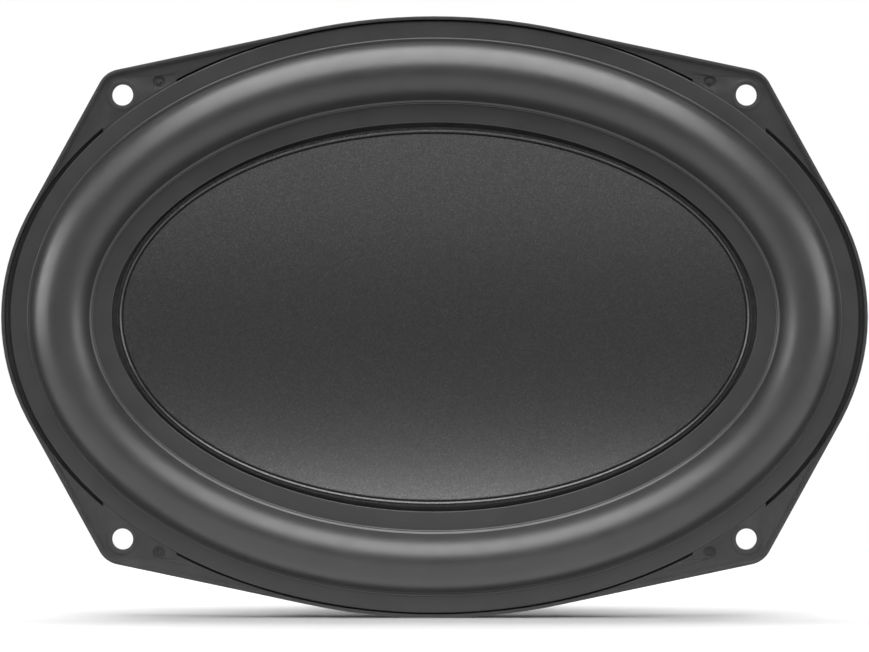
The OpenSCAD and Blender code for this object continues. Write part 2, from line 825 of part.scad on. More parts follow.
module positive_lead() {
    color([0.72, 0.62, 0.45]) tube(lead_path(-1), lead_d / 2);
}

module negative_lead() {
    color([0.72, 0.62, 0.45]) tube(lead_path(1), lead_d / 2);
}

// Stands the speaker up, with its face towards -Y and its long way along X
module upright() {
    rotate([90, 0, 0]) children();
}

upright() basket();
upright() rear_gasket();
upright() top_plate();
upright() magnet();
upright() pole_yoke();
upright() shorting_ring();
upright() vent_screen();
upright() motor_screws();
upright() terminal_board();
upright() positive_tab();
upright() negative_tab();
upright() tab_rivets();
upright() board_rivets();
upright() surround();
upright() spider();
upright() positive_lead();
upright() negative_lead();
upright() cone();
upright() dish();
upright() voice_coil_former();
upright() former_collar();
upright() voice_coil_winding();
upright() lead_eyelets();
upright() coil_lead_wires();
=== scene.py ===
# %% [markdown]
# # An oval car loudspeaker, piece by piece
# This lesson dresses the measured CAD model of a 6 x 9 inch car loudspeaker. The CAD frame gives
# the places and sizes. Here the soft and curved pieces are modelled again with smooth surfaces,
# the hard ones get softened edges, and every piece gets a finish made of shader nodes.
# The speaker stands upright: it faces -Y, X is its long way and Z is up.

# %% Load the CAD frame
import json
import math

import bmesh
import bpy
import numpy as np
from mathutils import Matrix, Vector

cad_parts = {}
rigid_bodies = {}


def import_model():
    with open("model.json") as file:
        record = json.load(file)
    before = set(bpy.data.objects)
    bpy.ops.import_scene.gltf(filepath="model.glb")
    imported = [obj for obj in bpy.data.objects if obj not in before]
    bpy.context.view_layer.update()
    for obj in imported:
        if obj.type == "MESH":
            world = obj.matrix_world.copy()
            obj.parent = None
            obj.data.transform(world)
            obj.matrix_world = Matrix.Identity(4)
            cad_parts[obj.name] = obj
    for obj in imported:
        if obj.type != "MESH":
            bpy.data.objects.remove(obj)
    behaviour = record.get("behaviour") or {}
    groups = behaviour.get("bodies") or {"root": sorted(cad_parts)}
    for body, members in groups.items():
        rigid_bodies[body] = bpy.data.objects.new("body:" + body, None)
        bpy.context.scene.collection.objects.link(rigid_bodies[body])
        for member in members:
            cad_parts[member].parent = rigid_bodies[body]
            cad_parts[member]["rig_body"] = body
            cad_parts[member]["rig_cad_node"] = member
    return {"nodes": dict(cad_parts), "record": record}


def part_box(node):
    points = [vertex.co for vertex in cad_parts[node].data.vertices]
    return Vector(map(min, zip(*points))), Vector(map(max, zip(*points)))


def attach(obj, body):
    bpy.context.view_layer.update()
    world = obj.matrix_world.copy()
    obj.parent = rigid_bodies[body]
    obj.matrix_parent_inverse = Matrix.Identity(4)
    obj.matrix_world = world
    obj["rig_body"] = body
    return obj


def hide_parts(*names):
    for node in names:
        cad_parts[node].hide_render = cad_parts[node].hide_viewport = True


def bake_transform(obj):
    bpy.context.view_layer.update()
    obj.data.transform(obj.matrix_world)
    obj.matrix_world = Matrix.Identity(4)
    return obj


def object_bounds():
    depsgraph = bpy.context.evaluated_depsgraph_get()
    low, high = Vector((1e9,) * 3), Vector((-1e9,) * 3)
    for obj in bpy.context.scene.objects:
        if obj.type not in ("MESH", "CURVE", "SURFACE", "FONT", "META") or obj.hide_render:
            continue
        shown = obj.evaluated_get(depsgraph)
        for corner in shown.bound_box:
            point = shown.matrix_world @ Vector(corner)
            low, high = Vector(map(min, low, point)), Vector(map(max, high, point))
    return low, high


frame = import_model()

cad_low, cad_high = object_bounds()
MM = 0.001
print("CAD box in mm:", [round(v / MM, 1) for v in cad_high - cad_low])

# %% [markdown]
# ## Camera
# A catalogue view of a loudspeaker looks straight along its axis. A long lens from nearly two
# metres away keeps the flange, the roll and the dish at almost the same scale, so circles stay
# circles and nothing bulges. The lens is worked out from the width that has to fill the frame.

# %% Set the camera
VIEW_WIDTH = 236.46 * MM
VIEW_DISTANCE = 1.8
VIEW_DROP = 2.45 * MM

middle = (cad_low + cad_high) / 2
bpy.ops.object.camera_add(location=(middle.x, -VIEW_DISTANCE, middle.z - VIEW_DROP),
                          rotation=(math.radians(90), 0, 0))
camera = bpy.context.object
camera.data.sensor_width = 36
camera.data.lens = 36 * (VIEW_DISTANCE + cad_low.y / 2) / VIEW_WIDTH
camera.data.clip_end = 20
bpy.context.scene.camera = camera
print("lens", round(camera.data.lens, 1), "mm")

# %% [markdown]
# ## Floor
# The speaker stands on a large pale floor that fades into the bright room, so no edge shows
# between floor and wall. It is a flat disc, many times as wide as the speaker.

# %% Lay the floor
FLOOR_WIDTH = 30.0

bpy.ops.object.select_all(action="DESELECT")
bpy.ops.mesh.primitive_circle_add(vertices=64, radius=FLOOR_WIDTH / 2, fill_type="NGON",
                                  location=(0, 0, cad_low.z))
floor = bpy.context.object
floor.name = "pale_floor"
bpy.ops.object.transform_apply(location=True)
print("floor", round(floor.dimensions.x, 1), "m across")

# %% [markdown]
# ## Light
# One large soft box hangs over the speaker and draws the long, wide highlight along the roll. Two
# weaker boxes stand at its left and right. One behind it draws its soft shadow forwards, and is
# kept out of reflections. A small one fills in the back for whoever walks round.

# %% Hang the soft boxes
def soft_box(name, where, aim, width, height, power):
    """A rectangular area lamp that looks at a point."""
    bpy.ops.object.light_add(type="AREA", location=where)
    lamp = bpy.context.object
    lamp.name = name
    lamp.data.shape = "RECTANGLE"
    lamp.data.size, lamp.data.size_y = width, height
    lamp.data.energy = power
    lamp.rotation_euler = (Vector(aim) - Vector(where)).to_track_quat("-Z", "Y").to_euler()
    return lamp


soft_box("box_over", (0, -0.52, 0.95), (0, -0.42, 0), 1.3, 1.64, 46)
soft_box("box_left", (-1.05, -0.15, 0.1), (0, -0.05, 0), 1.0, 0.8, 14)
soft_box("box_right", (1.05, -0.22, 0.1), (0, -0.05, 0), 1.0, 0.8, 11)
back_box = soft_box("box_back", (0, 0.45, 0.88), (0, -0.05, 0), 1.8, 0.7, 46)
back_box.visible_glossy = False
soft_box("box_rear_fill", (0.5, 1.2, 0.6), (0, 0, 0), 1.0, 1.0, 3.5)

# %% [markdown]
# ## Helpers for modelling
# Every oval of this speaker runs at a constant distance from the next one: that is how the roll
# keeps its width. Blender's inset does exactly this. One oval face is inset again and again, each
# time a little inwards and a little up or down, and so the section of a ring is drawn in steps.
# Pieces are modelled lying on their back with the front up, and are stood up at the end.

# %% Helpers: start an oval and draw its section
seat_low, seat_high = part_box("surround")
SEAT_LONG, SEAT_SHORT = seat_high.x, seat_high.z
OVAL_SIDES = 256


def add_oval(long_r, short_r, out, sides=OVAL_SIDES, fill="NGON"):
    """Adds an oval face, or just its edge, to the mesh that is being edited."""
    bpy.ops.mesh.select_all(action="DESELECT")
    bpy.ops.mesh.primitive_circle_add(vertices=sides, radius=1, fill_type=fill)
    bpy.ops.transform.resize(value=(long_r, short_r, 1), center_override=(0, 0, 0))
    bpy.ops.transform.translate(value=(0, 0, out))


def start_piece(name):
    """A new empty mesh object in edit mode."""
    bpy.ops.object.select_all(action="DESELECT")
    bpy.ops.mesh.primitive_plane_add(size=1)
    piece = bpy.context.object
    piece.name = piece.data.name = name
    bpy.ops.object.mode_set(mode="EDIT")
    bpy.ops.mesh.select_all(action="SELECT")
    bpy.ops.mesh.delete(type="VERT")
    bpy.ops.mesh.select_mode(type="FACE")
    return piece


def draw_section(points):
    """Insets the selected oval through (inset, height) points in millimetres."""
    for (in_0, out_0), (in_1, out_1) in zip(points, points[1:]):
        bpy.ops.mesh.inset(thickness=max(in_1 - in_0, 0) * MM, depth=(out_1 - out_0) * MM)


def oval_section(points, hollow=True):
    """An oval whose section goes through the points, each inset from the seat oval."""
    first_in, first_out = points[0]
    add_oval(SEAT_LONG - first_in * MM, SEAT_SHORT - first_in * MM, first_out * MM)
    draw_section(points)
    if hollow:
        bpy.ops.mesh.delete(type="ONLY_FACE")


def select_edges(piece, test):
    """Selects the open edges whose ends all pass a test of their place."""
    bpy.ops.mesh.select_mode(type="EDGE")
    bpy.ops.mesh.select_all(action="DESELECT")
    mesh = bmesh.from_edit_mesh(piece.data)
    for edge in mesh.edges:
        edge.select_set(edge.is_boundary and all(test(v.co) for v in edge.verts))
    bmesh.update_edit_mesh(piece.data)


def bridge(piece, test, cuts=0):
    """Joins two open loops with a band of faces."""
    select_edges(piece, test)
    bpy.ops.mesh.bridge_edge_loops(number_cuts=cuts, interpolation="LINEAR")


def stand_up(piece, smooth=35):
    """Closes the work on a piece: faces turned outwards, stood up, smooth shading."""
    bpy.ops.mesh.select_mode(type="FACE")
    bpy.ops.mesh.select_all(action="SELECT")
    bpy.ops.mesh.remove_doubles(threshold=1e-6)
    bpy.ops.mesh.normals_make_consistent(inside=False)
    bpy.ops.object.mode_set(mode="OBJECT")
    piece.rotation_euler = (math.radians(90), 0, 0)
    bpy.ops.object.transform_apply(location=True, rotation=True, scale=True)
    bpy.ops.object.shade_smooth_by_angle(angle=math.radians(smooth))
    mesh = bmesh.new()
    mesh.from_mesh(piece.data)
    open_edges = sum(not edge.is_manifold for edge in mesh.edges)
    print(piece.name, len(piece.data.polygons), "faces,", open_edges, "open edges")
    mesh.free()


def inset_of(points):
    """How far inside the seat oval each point lies, in millimetres, measured in batches."""
    turn = np.linspace(0, 2 * math.pi, 720, endpoint=False)
    line = np.stack([SEAT_LONG * np.cos(turn), SEAT_SHORT * np.sin(turn)], 1)
    flat = points[:, [0, 2]]
    batches = np.array_split(flat, len(flat) // 2000 + 1)
    nearest = [np.linalg.norm(batch[:, None] - line[None], axis=2).min(1) for batch in batches]
    return np.concatenate(nearest) / MM


def places(piece):
    """The vertices of a piece as an array."""
    return np.array([v.co for v in piece.data.vertices]).reshape(-1, 3)


def hang_between(piece, shares):
    """Bakes the piece in place and prints the range of its eased shares: 0 goes with the basket, 1
    with the cone.
    """
    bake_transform(piece)
    eased = np.clip(shares, 0, 1)
    eased = eased * eased * (3 - 2 * eased)
    print(piece.name, "moves with the cone by", round(float(eased.min()), 2), "to",
          round(float(eased.max()), 2))


# %% [markdown]
# ## Helpers for finishes
# A finish is a Principled shader whose colour, roughness and bump come from textures measured in
# real millimetres: Object coordinates are in metres, so a texture of scale 1000 repeats about
# once a millimetre. Values that are the same all over are set on the shader itself.

# %% Helpers: nodes
def new_finish(name, colour, roughness, metallic=0.0, **extra):
    """A material with its plain values set on the shader's own sockets."""
    material = bpy.data.materials.new(name)
    material.use_nodes = True
    shader = material.node_tree.nodes["Principled BSDF"]
    shader.inputs["Base Color"].default_value = (*colour, 1)
    shader.inputs["Roughness"].default_value = roughness
    shader.inputs["Metallic"].default_value = metallic
    for socket, value in extra.items():
        shader.inputs[socket.replace("_", " ")].default_value = value
    return material


def add_node(material, kind, links=(), **values):
    """Adds a node. Values name its properties or sockets, links give the sources of sockets."""
    made = material.node_tree.nodes.new("ShaderNode" + kind)
    for key, value in values.items():
        if hasattr(made, key):
            setattr(made, key, value)
        else:
            made.inputs[key.replace("_", " ")].default_value = value
    for socket, source in dict(links).items():
        material.node_tree.links.new(source, made.inputs[socket])
    return made


def feed(material, socket, source):
    """Feeds a socket of the material's shader."""
    shader = material.node_tree.nodes["Principled BSDF"]
    material.node_tree.links.new(source, shader.inputs[socket])


def coordinates(material, stretch=(1, 1, 1)):
    """Object coordinates, stretched if asked."""
    source = add_node(material, "TexCoord").outputs["Object"]
    return add_node(material, "Mapping", {"Vector": source}, Scale=stretch).outputs["Vector"]


def noise(material, place, size_mm, detail=3.0, roughness=0.5):
    """A noise value whose features are about size_mm across."""
    return add_node(material, "TexNoise", {"Vector": place}, Scale=1000 / size_mm,
                    Detail=detail, Roughness=roughness).outputs["Fac"]


def spread(material, value, low, high, from_low=0.35, from_high=0.65):
    """Maps a texture value onto a range of numbers."""
    return add_node(material, "MapRange", {"Value": value}, From_Min=from_low,
                    From_Max=from_high, To_Min=low, To_Max=high).outputs["Result"]


def tint(material, value, dark, light, low=0.35, high=0.65):
    """Maps a texture value onto two colours, which feed the base colour."""
    ramp = add_node(material, "ValToRGB", {"Fac": value})
    ramp.color_ramp.elements[0].position, ramp.color_ramp.elements[1].position = low, high
    ramp.color_ramp.elements[0].color = (*dark, 1)
    ramp.color_ramp.elements[1].color = (*light, 1)
    feed(material, "Base Color", ramp.outputs["Color"])


def raise_grain(material, height, depth_mm):
    """Adds a bump of that depth on top of the bumps there already are."""
    shader = material.node_tree.nodes["Principled BSDF"]
    earlier = shader.inputs["Normal"].links
    links = {"Height": height}
    if earlier:
        links["Normal"] = earlier[0].from_socket
    bump = add_node(material, "Bump", links, Strength=1.0, Distance=depth_mm * MM)
    feed(material, "Normal", bump.outputs["Normal"])


def dress(piece, material):
    """Gives a piece its finish, in place of any it had."""
    if not piece.material_slots:
        piece.data.materials.append(material)
    for slot in piece.material_slots:
        slot.link = "OBJECT"
        slot.material = material


# %% [markdown]
# ## The room's light
# The room itself is dim, and darkest behind the viewer, so that the flat black faces stay dark.
# A viewer who looks straight at it sees plain white. The world has nodes just as a material has,
# so the same helper adds them.

# %% Light the room
ROOM_LIGHT = 0.4
ROOM_SHADE = 0.32

room = bpy.context.scene.world = bpy.data.worlds.new("room")
room.use_nodes = True
dim = room.node_tree.nodes["Background"]
dim.inputs["Color"].default_value = (1, 1, 1, 1)
way = add_node(room, "SeparateXYZ", {"Vector": add_node(room, "TexCoord").outputs["Generated"]})
shade = add_node(room, "MapRange", {"Value": way.outputs["Y"]}, interpolation_type="SMOOTHSTEP",
                 From_Min=-0.98, From_Max=-0.6, To_Min=ROOM_SHADE, To_Max=ROOM_LIGHT)
room.node_tree.links.new(shade.outputs["Result"], dim.inputs["Strength"])
backdrop = add_node(room, "Background", Color=(1, 1, 1, 1), Strength=1.0)
choice = add_node(room, "MixShader", {0: add_node(room, "LightPath").outputs["Is Camera Ray"],
                                      1: dim.outputs["Background"],
                                      2: backdrop.outputs["Background"]})
room.node_tree.links.new(choice.outputs["Shader"],
                         room.node_tree.nodes["World Output"].inputs["Surface"])
bpy.context.scene.view_settings.view_transform = "Standard"
print("room light", ROOM_SHADE, "to", ROOM_LIGHT)

# %% [markdown]
# ## The floor's finish
# The viewer sees matte grey paper, lit until it looks almost white. Near the speaker it shows the
# soft shadow, and further out it fades into the bright background. For the speaker
# itself the paper is a light table: it glows softly underneath, and lights the lower flanks.

# %% Finish: paper
PAPER_SEEN = 0.25
FADE_RANGE, GLOW_RANGE = (0.3, 0.6), (0.15, 0.55)
GLOW_NEAR, GLOW_FAR = 1.65, 0.4

paper = new_finish("seamless_paper", (PAPER_SEEN,) * 3, 0.9, Specular_IOR_Level=0.0)
place = coordinates(paper)
tint(paper, noise(paper, place, 60), (PAPER_SEEN - 0.003,) * 3, (PAPER_SEEN + 0.003,) * 3)
white = add_node(paper, "Emission", Color=(1, 1, 1, 1), Strength=1.0)
reach = add_node(paper, "VectorMath", {0: place}, operation="LENGTH").outputs["Value"]
fade, glow = [add_node(paper, "MapRange", {"Value": reach}, From_Min=near, From_Max=far,
                       To_Min=start, To_Max=end, interpolation_type="SMOOTHSTEP").outputs["Result"]
              for near, far, start, end in ((*FADE_RANGE, 0, 1),
                                            (*GLOW_RANGE, GLOW_NEAR, GLOW_FAR))]
table = add_node(paper, "Emission", {"Strength": glow}, Color=(1, 1, 1, 1))
matte = paper.node_tree.nodes["Principled BSDF"].outputs["BSDF"]
looked_at = add_node(paper, "MixShader", {0: fade, 1: matte, 2: white.outputs["Emission"]})
eye = add_node(paper, "LightPath").outputs["Is Camera Ray"]
both = add_node(paper, "MixShader", {0: eye, 1: table.outputs["Emission"],
                                     2: looked_at.outputs["Shader"]})
paper.node_tree.links.new(both.outputs["Shader"],
                          paper.node_tree.nodes["Material Output"].inputs["Surface"])
dress(floor, paper)
print("finish:", paper.name)

# %% [markdown]
# ## The surround
# The surround is the rubber spring round the cone: a glued band, a fine bead, the half roll that
# lets the cone travel, another bead and the inner band glued to the cone. Its section is drawn
# by insets, once for the front and once for the back, and the two skins are bridged at their
# edges, so that the rubber has its real thickness.

# %% Model the surround
OUTER_BEAD, INNER_BEAD = 4.9, 22.3
BEAD_HALF, OUTER_BEAD_HIGH, INNER_BEAD_HIGH = 0.4, 0.45, 0.6
ROLL_START, ROLL_END, ROLL_HIGH = 5.6, 21.6, 7.5
VALLEY = 0.4
RUBBER = 1.0
OUTER_TOP, OUTER_LOW = 3.7, 2.7
INNER_TOP, INNER_LOW, INNER_END = 3.2, 2.2, 27.7


def arch(start, end, base, high, steps, foot=0):
    """Points of a half ellipse between two insets, its lowest foot degrees cut away."""
    mid, half, low = (start + end) / 2, (end - start) / 2, math.radians(foot)
    turns = [low + (math.pi - 2 * low) * k / steps for k in range(steps + 1)]
    return [(mid - half * math.cos(t) / math.cos(low),
             base + high * (math.sin(t) - math.sin(low)) / (1 - math.sin(low))) for t in turns]


surround_front = (
    [(0, OUTER_TOP - 0.25), (0.08, OUTER_TOP - 0.08), (0.25, OUTER_TOP), (0.35, OUTER_TOP),
     (4.4, OUTER_TOP)]
    + arch(OUTER_BEAD - BEAD_HALF, OUTER_BEAD + BEAD_HALF, OUTER_TOP, OUTER_BEAD_HIGH, 8)[:-3]
    + arch(ROLL_START, ROLL_END, OUTER_TOP + VALLEY, ROLL_HIGH - VALLEY, 32, foot=16)
    + arch(INNER_BEAD - BEAD_HALF, INNER_BEAD + BEAD_HALF, INNER_TOP, INNER_BEAD_HIGH, 8)[3:]
    + [(22.8, INNER_TOP), (INNER_END - 0.35, INNER_TOP), (INNER_END - 0.25, INNER_TOP),
       (INNER_END - 0.08, INNER_TOP - 0.08), (INNER_END, INNER_TOP - 0.25)])
surround_back = (
    [(0, OUTER_LOW), (ROLL_START, OUTER_LOW)]
    + arch(ROLL_START + RUBBER, ROLL_END - RUBBER, OUTER_TOP, ROLL_HIGH - RUBBER, 24)
    + [(21.95, INNER_LOW), (INNER_END, INNER_LOW)])

surround = start_piece("surround_ring")
oval_section(surround_front)
oval_section(surround_back)
outer_edge = lambda p: (p.x / SEAT_LONG) ** 2 + (p.y / SEAT_SHORT) ** 2 > 0.99
bridge(surround, outer_edge)
bridge(surround, lambda p: not outer_edge(p))
stand_up(surround)
hang_between(surround, (inset_of(places(surround)) - ROLL_START) / (ROLL_END - ROLL_START))
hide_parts("surround")

# %% [markdown]
# ## Finish: satin rubber
# Butyl rubber from a fine-blasted mould: dark grey, a soft broad sheen, and a skin of tiny
# pores. A slow mottling in the roughness is the bloom that such rubber always has.

# %% Finish: rubber
rubber = new_finish("satin_rubber", (0.015, 0.015, 0.0153), 0.4, Specular_IOR_Level=0.5)
place = coordinates(rubber)
tint(rubber, noise(rubber, place, 9, detail=6), (0.0135, 0.0135, 0.0138),
     (0.0165, 0.0165, 0.0168))
feed(rubber, "Roughness", spread(rubber, noise(rubber, place, 5, detail=5), 0.37, 0.43))
raise_grain(rubber, noise(rubber, place, 0.22, detail=2), 0.012)
dress(surround, rubber)
print("finish:", rubber.name)

# %% [markdown]
# ## The dish
# The dish closes the cone from the front: a shallow oval bowl with a raised rim. The rim is drawn
# by insets like the surround. The bowl itself is not parallel to its rim, it shrinks evenly
# towards the middle, so each ring is extruded, lowered and scaled about the centre. The last
# small face is poked, which closes the middle with triangles.

# %% Model the dish
DISH_FOOT = -0.5
RIM = [(28.9, DISH_FOOT), (28.9, 2.05), (28.94, 2.1), (29.4, 2.1), (29.44, 2.2), (29.47, 2.85),
       (29.5, 3.08), (29.8, 3.34), (29.88, 3.38), (29.96, 3.34), (30.27, 3.08), (30.3, 2.9),
       (30.32, 1.9), (30.6, 1.9), (30.63, 2.4), (30.7, 2.56), (30.8, 2.62)]
RIM_WALL_IN, RIM_WALL_TOP = 29.8, 0.9
DISH_EDGE, DISH_EDGE_OUT, DISH_DEPTH = 30.9, 2.6, 8.0
BACK_EDGE, BACK_EDGE_OUT, BACK_DEPTH = 31.8, 1.4, 7.7
DISH_RINGS = 36


def sink_bowl(start_out, rings, depth):
    """Extrudes the selected oval face downwards in shrinking rings, as a shallow bowl."""
    size, out = 1.0, start_out
    for k in range(1, rings + 1):
        new_size = max(1 - (k / rings) ** 1.5, 0.01)
        new_out = start_out - depth * (1 - new_size ** 2)
        bpy.ops.mesh.extrude_region_move(
            TRANSFORM_OT_translate={"value": (0, 0, (new_out - out) * MM)})
        bpy.ops.transform.resize(value=(new_size / size, new_size / size, 1),
                                 center_override=(0, 0, new_out * MM))
        size, out = new_size, new_out
    bpy.ops.mesh.poke()


dish = start_piece("dish_bowl")
oval_section(RIM + [(DISH_EDGE, DISH_EDGE_OUT)], hollow=False)
sink_bowl(DISH_EDGE_OUT, DISH_RINGS, DISH_DEPTH)
oval_section([RIM[0], (RIM_WALL_IN, DISH_FOOT), (RIM_WALL_IN, RIM_WALL_TOP),
              (BACK_EDGE, BACK_EDGE_OUT)], hollow=False)
sink_bowl(BACK_EDGE_OUT, DISH_RINGS, BACK_DEPTH)
stand_up(dish, smooth=40)
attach(dish, "cone_assembly")
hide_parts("dish")

# %% [markdown]
# ## Finish: satin paint with metal fleck
# The dish is sprayed in a dark grey with fine aluminium flakes. Each cell of a Voronoi texture is
# one flake: its random value decides whether it is bright, and a bump of the same cells tilts it
# a little, so that flakes flash where the light suits them.

# %% Finish: dish paint
FLAKE_MM = 0.16

dish_paint = new_finish("flake_paint", (0.04, 0.04, 0.04), 0.3, 0.8, Specular_IOR_Level=0.45)
place = coordinates(dish_paint)
flakes = add_node(dish_paint, "TexVoronoi", {"Vector": place}, Scale=1000 / FLAKE_MM)
flake_value = add_node(dish_paint, "SeparateColor", {"Color": flakes.outputs["Color"]})
tint(dish_paint, flake_value.outputs["Red"], (0.04, 0.04, 0.0404), (0.085, 0.085, 0.085), 0.6, 1.0)
feed(dish_paint, "Roughness",
     spread(dish_paint, flake_value.outputs["Green"], 0.26, 0.34, 0, 1))
raise_grain(dish_paint, flake_value.outputs["Blue"], 0.004)
raise_grain(dish_paint, noise(dish_paint, place, 1.6, detail=4), 0.004)
dress(dish, dish_paint)
print("finish:", dish_paint.name)

# %% [markdown]
# ## The cone
# Behind the dish a moulded cone carries the force from the coil: an oval rim for the rubber, a
# shelf for the dish, a wall that runs from oval to round, and a neck for the coil former. Front
# and back skins are drawn by insets, the neck is a round edge extruded in steps, and bridges
# with many cuts draw the wall from the oval to the circle.

# %% Model the cone
CONE_RIM, CONE_RIM_OUT, CONE_RIM_BACK = 21.95, 2.2, 1.4
GLUE_END, STEP_WALL = 27.75, 0.8
SHELF_END, SHELF_OUT, SHELF_BACK = 31.7, -0.5, -1.3
NECK_R, NECK_WALL, NECK_TOP, NECK_BACK, NECK_LOW = 16.65, 0.8, -28.0, -29.12, -31.1


def pull_ring(start_r, start_out, points):
    """Extrudes the selected round edge through (radius, height) points in millimetres."""
    radius, out = start_r, start_out
    for new_r, new_out in points:
        bpy.ops.mesh.extrude_region_move(
            TRANSFORM_OT_translate={"value": (0, 0, (new_out - out) * MM)})
        bpy.ops.transform.resize(value=(new_r / radius, new_r / radius, 1),
                                 center_override=(0, 0, new_out * MM))
        radius, out = new_r, new_out


def at_height(*heights):
    """A test of whether a point lies at one of the heights, given in millimetres."""
    return lambda p: min(abs(p.z - out * MM) for out in heights) < 1e-5


cone = start_piece("cone_shell")
oval_section([(CONE_RIM, CONE_RIM_BACK), (CONE_RIM, CONE_RIM_OUT), (GLUE_END, CONE_RIM_OUT),
              (GLUE_END, SHELF_OUT), (SHELF_END, SHELF_OUT)])
oval_section([(CONE_RIM, CONE_RIM_BACK), (GLUE_END - STEP_WALL, CONE_RIM_BACK),
              (GLUE_END - STEP_WALL, SHELF_BACK), (SHELF_END, SHELF_BACK)])
neck_out = NECK_R + NECK_WALL
bpy.ops.mesh.select_mode(type="EDGE")
add_oval(neck_out * MM, neck_out * MM, NECK_TOP * MM, fill="NOTHING")
pull_ring(neck_out, NECK_TOP, [(NECK_R, NECK_TOP), (NECK_R, NECK_LOW), (neck_out, NECK_LOW),
                               (neck_out, NECK_BACK)])
bridge(cone, at_height(SHELF_OUT, NECK_TOP), cuts=14)
bridge(cone, at_height(SHELF_BACK, NECK_BACK), cuts=14)
stand_up(cone)
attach(cone, "cone_assembly")
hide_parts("cone")

# %% [markdown]
# ## Finish: moulded polypropylene
# Mica-filled polypropylene, nearly black, slightly cloudy, with a fine grain and a skin that is
# waxy in places.

# %% Finish: cone plastic
cone_plastic = new_finish("filled_polypropylene", (0.03, 0.03, 0.031), 0.45)
place = coordinates(cone_plastic)
tint(cone_plastic, noise(cone_plastic, place, 3, detail=6), (0.024, 0.024, 0.025),
     (0.037, 0.037, 0.038))
feed(cone_plastic, "Roughness", spread(cone_plastic, noise(cone_plastic, place, 6), 0.38, 0.52))
raise_grain(cone_plastic, noise(cone_plastic, place, 0.5, detail=3), 0.015)
dress(cone, cone_plastic)
print("finish:", cone_plastic.name)

# %% [markdown]
# ## The spider
# The spider centres the coil: a disc of resin-dipped cloth pressed into round waves, glued to
# the basket at its edge and to the neck at its bore. It is drawn like the surround, by insets of
# a round face, with a sine wave for the heights.

# %% Model the spider
SPIDER_R, WAVE_END, WAVE_START, BORE_R = 52.0, 45.7, 18.6, 16.65
CLOTH, WAVES, WAVE_HIGH, SPIDER_OUT, LIP_OUT = 0.6, 5, 1.3, -33.0, -31.6
WAVE_STEPS = 12 * WAVES
SPIDER_SIDES = 192


def spider_skin(lift):
    """(inset from the edge, height) points of one side of the cloth."""
    wave = [(SPIDER_R - (WAVE_END + (WAVE_START - WAVE_END) * k / WAVE_STEPS),
             SPIDER_OUT + lift - WAVE_HIGH * math.sin(2 * math.pi * WAVES * k / WAVE_STEPS))
            for k in range(WAVE_STEPS + 1)]
    return [(0, SPIDER_OUT + lift)] + wave


def round_section(radius, points):
    """A round face drawn inwards through (inset, height) points, open in the middle."""
    add_oval(radius * MM, radius * MM, points[0][1] * MM, SPIDER_SIDES)
    draw_section(points)
    bpy.ops.mesh.delete(type="ONLY_FACE")


spider = start_piece("spider_cloth")
bore_in = SPIDER_R - BORE_R
round_section(SPIDER_R, spider_skin(CLOTH) + [(bore_in - CLOTH, SPIDER_OUT + CLOTH),
                                              (bore_in - CLOTH, LIP_OUT), (bore_in, LIP_OUT)])
round_section(SPIDER_R, spider_skin(0) + [(bore_in, SPIDER_OUT)])
far_out = lambda p: math.hypot(p.x, p.y) > 40 * MM
bridge(spider, far_out)
bridge(spider, lambda p: not far_out(p))
stand_up(spider)
spider_reach = np.hypot(*places(spider)[:, [0, 2]].T) / MM
hang_between(spider, (WAVE_END - spider_reach) / (WAVE_END - WAVE_START))
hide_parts("spider")

# %% [markdown]
# ## Finish: resin-dipped cloth
# Open cotton weave, stiffened with phenolic resin, which turns it honey-coloured. Two sets of
# bands run at right angles, one per thread direction, and the higher one shows at each crossing.
# A noise lets the resin lie thicker in places.

# %% Finish: spider cloth
def weave(material, place, thread_mm):
    """A height that looks like a plain weave of that thread spacing."""
    bands = [add_node(material, "TexWave", {"Vector": place}, bands_direction=axis,
                      wave_profile="SIN", Scale=1000 / thread_mm / 3.14, Distortion=0.4,
                      Detail=1.0).outputs["Fac"] for axis in ("X", "Z")]
    return add_node(material, "Math", {0: bands[0], 1: bands[1]},
                    operation="MAXIMUM").outputs["Value"]


cloth = new_finish("resin_cloth", (0.5, 0.33, 0.12), 0.7, Specular_IOR_Level=0.3,
                   Sheen_Weight=0.2)
place = coordinates(cloth)
threads = weave(cloth, place, 0.45)
resin = noise(cloth, place, 7, detail=4)
mixed = add_node(cloth, "Math", {0: threads, 1: resin}, operation="MULTIPLY").outputs["Value"]
tint(cloth, mixed, (0.2, 0.115, 0.03), (0.56, 0.38, 0.15), 0.1, 0.6)
feed(cloth, "Roughness", spread(cloth, resin, 0.55, 0.85))
raise_grain(cloth, threads, 0.12)
dress(spider, cloth)
print("finish:", cloth.name)

# %% [markdown]
# ## Hard pieces from the CAD
# Mouldings, stampings and castings are right in the CAD, but their edges are perfectly sharp,
# and no real edge is. Each one is copied, its loose triangles are merged, and a small bevel
# rounds every sharp edge, as tooling does.

